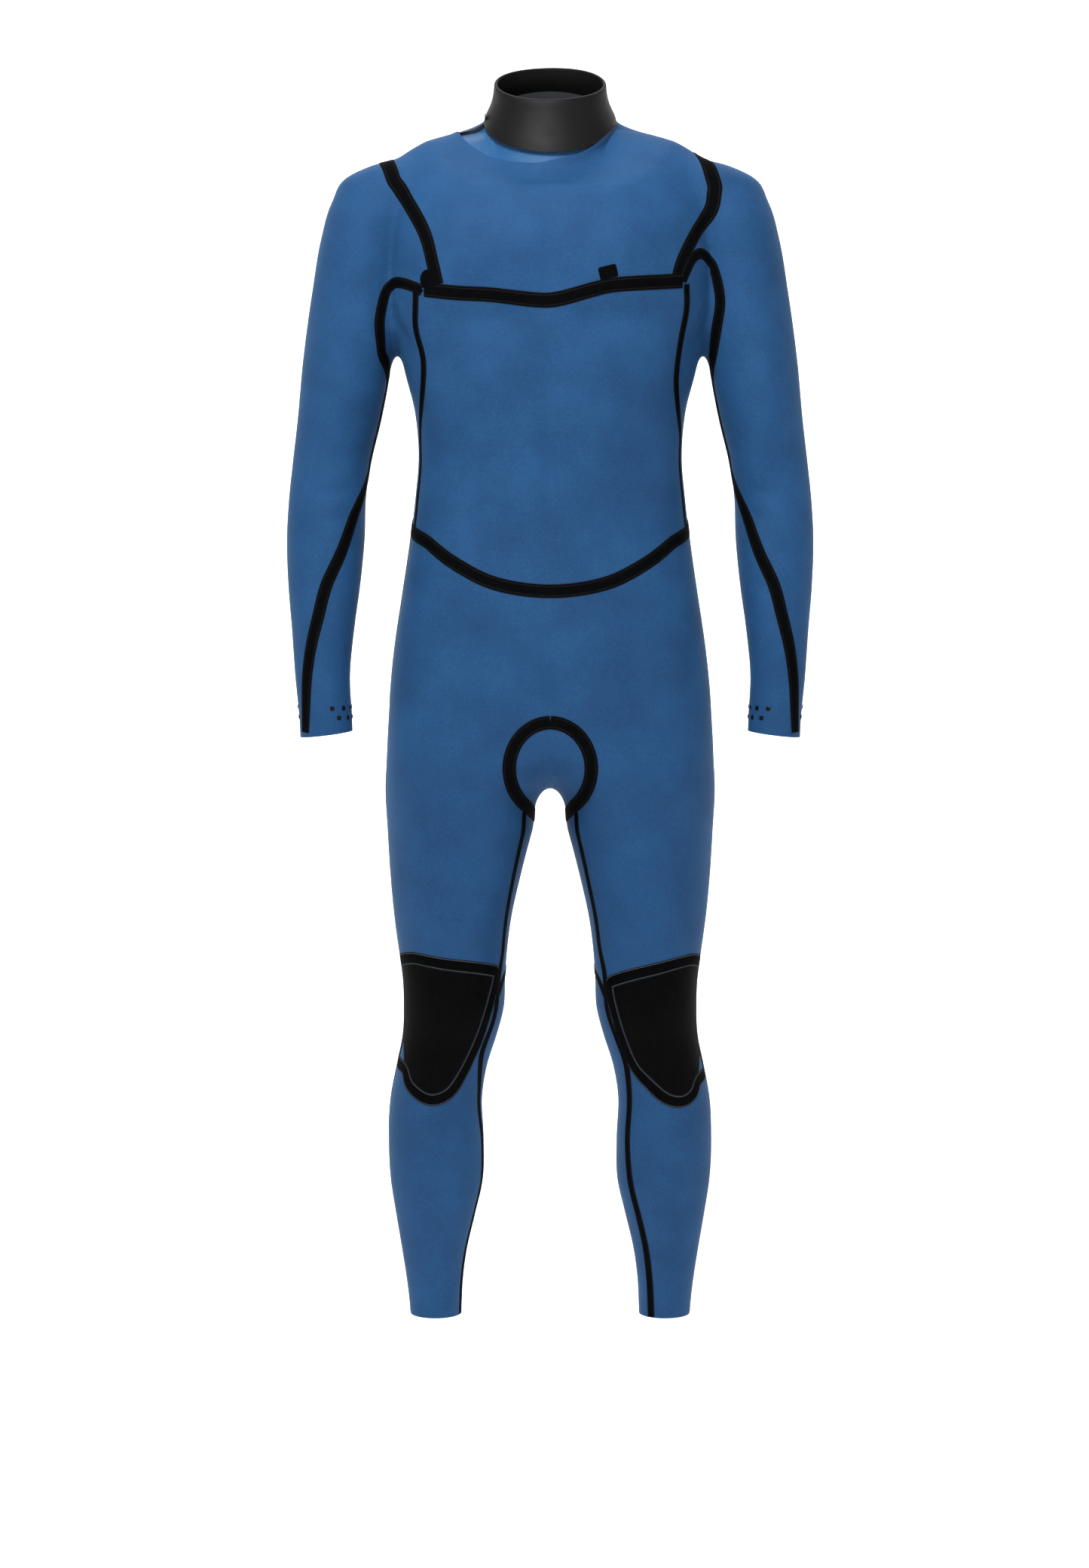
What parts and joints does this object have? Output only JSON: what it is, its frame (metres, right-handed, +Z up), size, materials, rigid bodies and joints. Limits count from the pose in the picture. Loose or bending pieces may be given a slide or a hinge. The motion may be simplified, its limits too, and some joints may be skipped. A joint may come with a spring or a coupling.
{
  "type": "full wetsuit",
  "caption": "Full-length neoprene wetsuit with long sleeves and legs, taped panel seams, overlapped neck entry with collar, crotch gusset, knee pads and grip-dotted cuffs.",
  "frame": {"origin": "on the body's centre line, at the height of the ankle hems, the lowest edge of the suit", "axes": "+Z up from the ankle hems to the collar, -Y the way the chest faces, +X the wearer's left"},
  "size_m": [0.6142, 0.247, 1.4644],
  "materials": {
    "neoprene": "knitted jersey face, soft sheen",
    "seam_tape": "matte knitted tape",
    "collar_skin": "smooth skin neoprene",
    "knee_pad": "matte hard-wearing knit",
    "grip_rubber": "matte printed rubber"
  },
  "bodies": {
    "trunk": {"chest_panel": "neoprene", "belly_panel": "neoprene", "front_hip_panel": "neoprene", "seat_panel": "neoprene", "upper_back_panel": "neoprene", "crotch_gusset": "neoprene", "chest_tape": "seam_tape", "waist_tape": "seam_tape", "crotch_tape": "seam_tape", "chest_tab": "seam_tape", "neck_flap": "neoprene", "left_side_panel": "neoprene", "left_sleeve_cap": "neoprene", "left_shoulder_tape": "seam_tape", "left_side_tape": "seam_tape", "right_side_panel": "neoprene", "right_sleeve_cap": "neoprene", "right_shoulder_tape": "seam_tape", "right_side_tape": "seam_tape"},
    "collar": {"collar": "collar_skin"},
    "left_upper_arm": {"left_shoulder_sleeve": "neoprene", "left_upper_sleeve": "neoprene", "left_underarm_tape": "seam_tape"},
    "left_forearm": {"left_elbow_sleeve": "neoprene", "left_forearm_sleeve": "neoprene", "left_forearm_tape": "seam_tape", "left_cuff_band": "neoprene", "left_grip_dots": "grip_rubber"},
    "left_thigh": {"left_hip_panel": "neoprene", "left_thigh_panel": "neoprene", "left_inner_thigh_tape": "seam_tape"},
    "left_shin": {"left_knee_sleeve": "neoprene", "left_knee_pad": "knee_pad", "left_knee_pad_tape": "seam_tape", "left_shin_panel": "neoprene", "left_calf_panel": "neoprene", "left_shin_tape": "seam_tape", "left_ankle_band": "neoprene"},
    "right_upper_arm": {"right_shoulder_sleeve": "neoprene", "right_upper_sleeve": "neoprene", "right_underarm_tape": "seam_tape"},
    "right_forearm": {"right_elbow_sleeve": "neoprene", "right_forearm_sleeve": "neoprene", "right_forearm_tape": "seam_tape", "right_cuff_band": "neoprene", "right_grip_dots": "grip_rubber"},
    "right_thigh": {"right_hip_panel": "neoprene", "right_thigh_panel": "neoprene", "right_inner_thigh_tape": "seam_tape"},
    "right_shin": {"right_knee_sleeve": "neoprene", "right_knee_pad": "knee_pad", "right_knee_pad_tape": "seam_tape", "right_shin_panel": "neoprene", "right_calf_panel": "neoprene", "right_shin_tape": "seam_tape", "right_ankle_band": "neoprene"}
  },
  "joints": [
    {"name": "collar_tilt", "type": "hinge", "parent": "trunk", "child": "collar", "pos_m": [0, 0.08, 1.439], "axis": [-1, 0, 0], "range_deg": [0, 25], "stiffness_Nm_per_rad": 0.6, "deforming": ["neck_flap"]},
    {"name": "left_shoulder_swing", "type": "hinge", "parent": "trunk", "child": "left_upper_arm", "pos_m": [0.235, 0.012, 1.19], "axis": [-1, 0, 0], "range_deg": [-20, 60], "stiffness_Nm_per_rad": 3, "deforming": ["left_shoulder_sleeve", "left_underarm_tape"]},
    {"name": "left_elbow_bend", "type": "hinge", "parent": "left_upper_arm", "child": "left_forearm", "pos_m": [0.26, 0.012, 0.959], "axis": [-1, 0, 0], "range_deg": [0, 95], "stiffness_Nm_per_rad": 1.5, "deforming": ["left_elbow_sleeve", "left_forearm_tape"]},
    {"name": "left_hip_bend", "type": "hinge", "parent": "trunk", "child": "left_thigh", "pos_m": [0.095, -0.03, 0.68], "axis": [-1, 0, 0], "range_deg": [-15, 80], "stiffness_Nm_per_rad": 8, "deforming": ["left_hip_panel", "left_inner_thigh_tape"]},
    {"name": "left_knee_bend", "type": "hinge", "parent": "left_thigh", "child": "left_shin", "pos_m": [0.112, 0.004, 0.375], "axis": [1, 0, 0], "range_deg": [0, 85], "stiffness_Nm_per_rad": 4, "deforming": ["left_knee_sleeve", "left_knee_pad", "left_knee_pad_tape"]},
    {"name": "right_shoulder_swing", "type": "hinge", "parent": "trunk", "child": "right_upper_arm", "pos_m": [-0.235, 0.012, 1.19], "axis": [-1, 0, 0], "range_deg": [-20, 60], "stiffness_Nm_per_rad": 3, "deforming": ["right_shoulder_sleeve", "right_underarm_tape"]},
    {"name": "right_elbow_bend", "type": "hinge", "parent": "right_upper_arm", "child": "right_forearm", "pos_m": [-0.26, 0.012, 0.959], "axis": [-1, 0, 0], "range_deg": [0, 95], "stiffness_Nm_per_rad": 1.5, "deforming": ["right_elbow_sleeve", "right_forearm_tape"]},
    {"name": "right_hip_bend", "type": "hinge", "parent": "trunk", "child": "right_thigh", "pos_m": [-0.095, -0.03, 0.68], "axis": [-1, 0, 0], "range_deg": [-15, 80], "stiffness_Nm_per_rad": 8, "deforming": ["right_hip_panel", "right_inner_thigh_tape"]},
    {"name": "right_knee_bend", "type": "hinge", "parent": "right_thigh", "child": "right_shin", "pos_m": [-0.112, 0.004, 0.375], "axis": [1, 0, 0], "range_deg": [0, 85], "stiffness_Nm_per_rad": 4, "deforming": ["right_knee_sleeve", "right_knee_pad", "right_knee_pad_tape"]}
  ]
}
